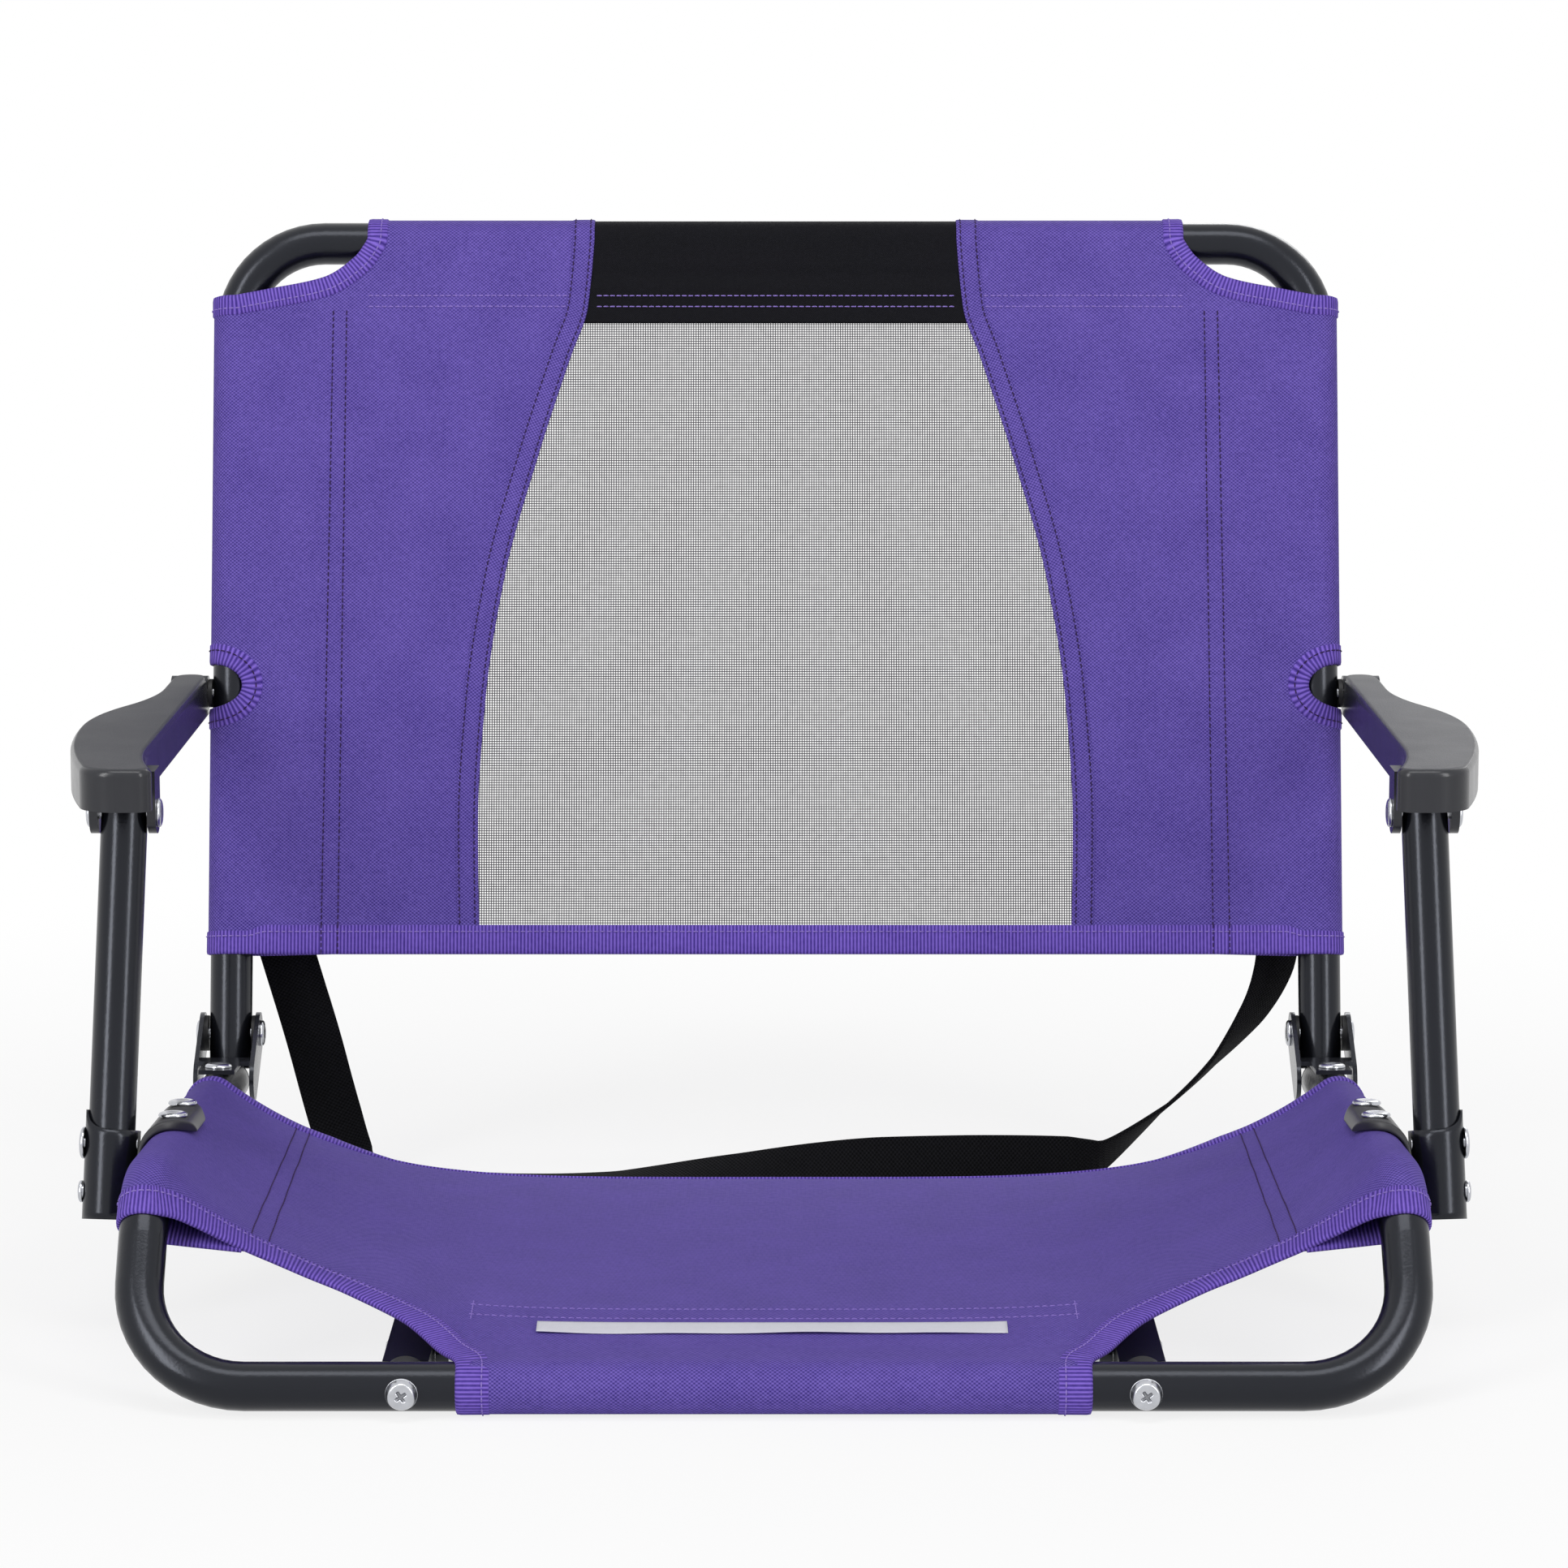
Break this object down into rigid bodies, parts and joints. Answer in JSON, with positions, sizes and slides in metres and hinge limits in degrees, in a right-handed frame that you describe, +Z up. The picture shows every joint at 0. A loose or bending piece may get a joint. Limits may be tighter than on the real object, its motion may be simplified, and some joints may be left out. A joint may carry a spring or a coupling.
{
  "type": "folding_stadium_seat",
  "caption": "Folding stadium seat: bent steel tube frame, purple cloth sling seat, cloth and mesh back, plastic armrests on folding posts and a loose black carry strap.",
  "frame": {"origin": "Under the middle of the seat's box, on the floor, with the loose strap left out.", "axes": "+X to the seat's right as seen from the front, +Y to the rear, +Z up."},
  "size_m": [0.5926, 0.4755, 0.4366],
  "materials": {
    "tube_paint": "charcoal powder coat",
    "arm_plastic": "moulded, fine texture",
    "black_plastic": "moulded",
    "rivet_steel": "zinc-plated steel",
    "purple_cloth": "plain woven polyester",
    "pale_mesh": "open mesh",
    "black_webbing": "woven webbing"
  },
  "bodies": {
    "seat_base": {"seat_frame_tube": "tube_paint", "rail_plugs": "black_plastic", "rear_leg_tube": "tube_paint", "leg_plate_left": "tube_paint", "leg_plate_right": "tube_paint", "saddle_left": "arm_plastic", "saddle_right": "arm_plastic", "saddle_rivets": "rivet_steel", "stretcher_left": "tube_paint", "stretcher_right": "tube_paint", "front_screws": "rivet_steel", "rear_screws": "rivet_steel", "stretcher_spacers": "black_plastic", "hook_rivets": "rivet_steel", "hinge_bracket_left": "tube_paint", "hinge_bracket_right": "tube_paint", "hinge_pins": "rivet_steel", "hinge_washers": "black_plastic", "rail_rivets": "rivet_steel", "seat_sling": "purple_cloth", "seat_flap": "purple_cloth", "flap_wrap": "purple_cloth"},
    "back": {"back_frame_tube": "tube_paint", "upright_plugs": "black_plastic", "arm_bushes": "black_plastic", "arm_pins": "rivet_steel", "back_panel_left": "purple_cloth", "back_panel_right": "purple_cloth", "mesh_panel": "pale_mesh", "carry_strap": "black_webbing"},
    "left_arm": {"armrest_left": "arm_plastic", "armrest_rivet_left": "rivet_steel"},
    "left_post": {"post_tube_left": "tube_paint", "post_foot_left": "tube_paint", "foot_rivet_left": "rivet_steel", "pivot_bolt_left": "rivet_steel"},
    "hook_left_bar": {"hook_left": "tube_paint"},
    "right_arm": {"armrest_right": "arm_plastic", "armrest_rivet_right": "rivet_steel"},
    "right_post": {"post_tube_right": "tube_paint", "post_foot_right": "tube_paint", "foot_rivet_right": "rivet_steel", "pivot_bolt_right": "rivet_steel"},
    "hook_right_bar": {"hook_right": "tube_paint"}
  },
  "joints": [
    {"name": "back_fold", "type": "hinge", "parent": "seat_base", "child": "back", "pos_m": [0, 0.1415, 0.07367], "axis": [1, 0, 0], "range_deg": [0, 94.5]},
    {"name": "left_arm_turn", "type": "hinge", "parent": "back", "child": "left_arm", "pos_m": [-0.26693, 0.17821, 0.22426], "axis": [1, 0, 0], "range_deg": [-94.5, 0]},
    {"name": "left_post_turn", "type": "hinge", "parent": "seat_base", "child": "left_post", "pos_m": [-0.2714, -0.0975, 0.05722], "axis": [1, 0, 0], "range_deg": [0, 94.5]},
    {"name": "right_arm_turn", "type": "hinge", "parent": "back", "child": "right_arm", "pos_m": [0.26693, 0.17821, 0.22426], "axis": [1, 0, 0], "range_deg": [-94.5, 0]},
    {"name": "right_post_turn", "type": "hinge", "parent": "seat_base", "child": "right_post", "pos_m": [0.2714, -0.0975, 0.05722], "axis": [1, 0, 0], "range_deg": [0, 94.5]},
    {"name": "hook_left_swing", "type": "hinge", "parent": "seat_base", "child": "hook_left_bar", "pos_m": [-0.131, -0.173, 0.0101], "axis": [-1, 0, 0], "range_deg": [0, 90]},
    {"name": "hook_right_swing", "type": "hinge", "parent": "seat_base", "child": "hook_right_bar", "pos_m": [0.131, -0.173, 0.0101], "axis": [-1, 0, 0], "range_deg": [0, 90]}
  ],
  "couplings": [
    {"joint": "left_arm_turn", "follows": "back_fold", "ratio": -1},
    {"joint": "left_post_turn", "follows": "back_fold", "ratio": 1},
    {"joint": "right_arm_turn", "follows": "back_fold", "ratio": -1},
    {"joint": "right_post_turn", "follows": "back_fold", "ratio": 1}
  ]
}
